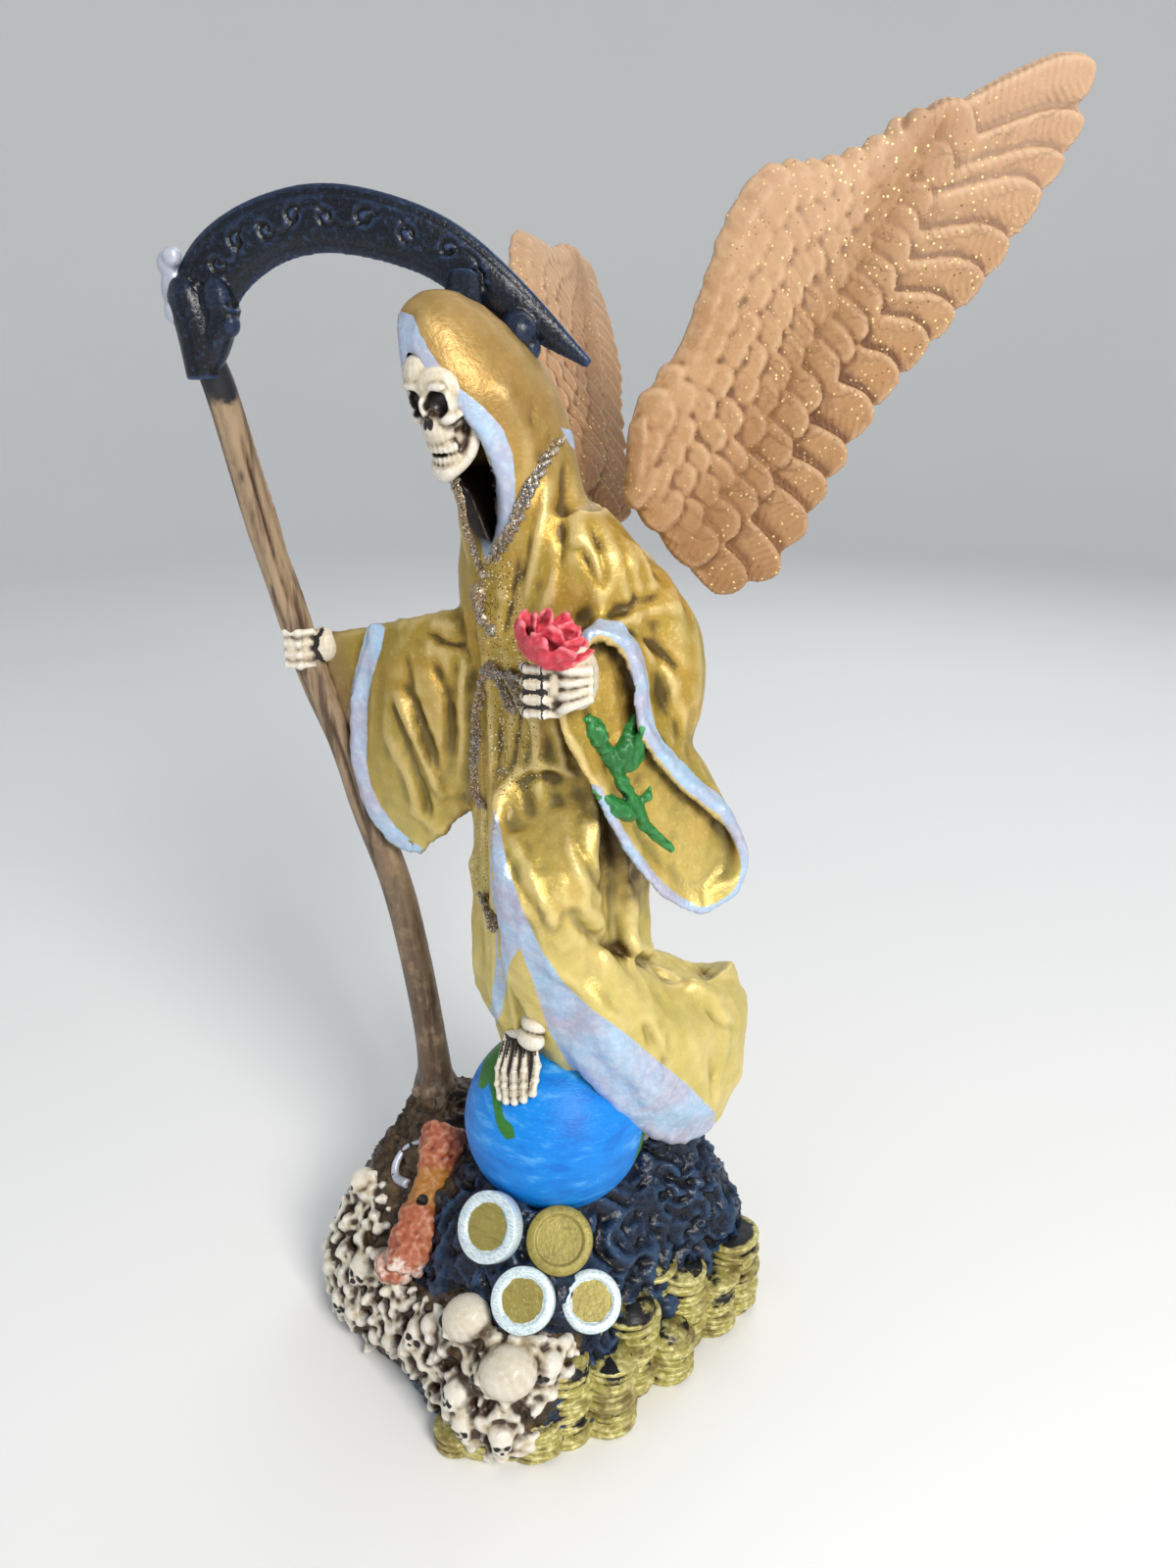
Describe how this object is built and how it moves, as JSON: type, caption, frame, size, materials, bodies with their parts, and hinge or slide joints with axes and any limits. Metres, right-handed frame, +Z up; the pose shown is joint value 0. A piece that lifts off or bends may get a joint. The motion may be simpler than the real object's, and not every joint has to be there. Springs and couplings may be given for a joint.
{
  "type": "santa muerte figure",
  "caption": "Winged santa muerte figure in cast resin: a hooded robed skeleton with a scythe and a rose, one foot on a blue globe, over a heap of coins and skulls.",
  "frame": {"origin": "middle of the flat underside of the heap that the figure stands on", "axes": "+Z up, -Y the way the robed figure faces, +X towards its left hand"},
  "size_m": [0.1893, 0.1856, 0.3573],
  "materials": {
    "gold_paint": "brushed metallic gold paint on cast resin",
    "silver_paint": "dry-brushed pale silver-blue paint",
    "bone_paint": "cream paint with a dark brown wash in the hollows",
    "wood_paint": "streaked brown paint",
    "black_paint": "glossy black paint with a blue sheen",
    "blue_paint": "brushed bright blue paint",
    "green_paint": "brushed green paint",
    "red_paint": "coral red paint",
    "rock_paint": "glossy blue-black paint on rough rock",
    "coin_paint": "olive gold paint with dark gaps",
    "wing_resin": "bare matte tan resin sprinkled with gold glitter"
  },
  "bodies": {
    "root": {"figure": "gold_paint", "left_wing": "wing_resin", "right_wing": "wing_resin"}
  },
  "joints": []
}
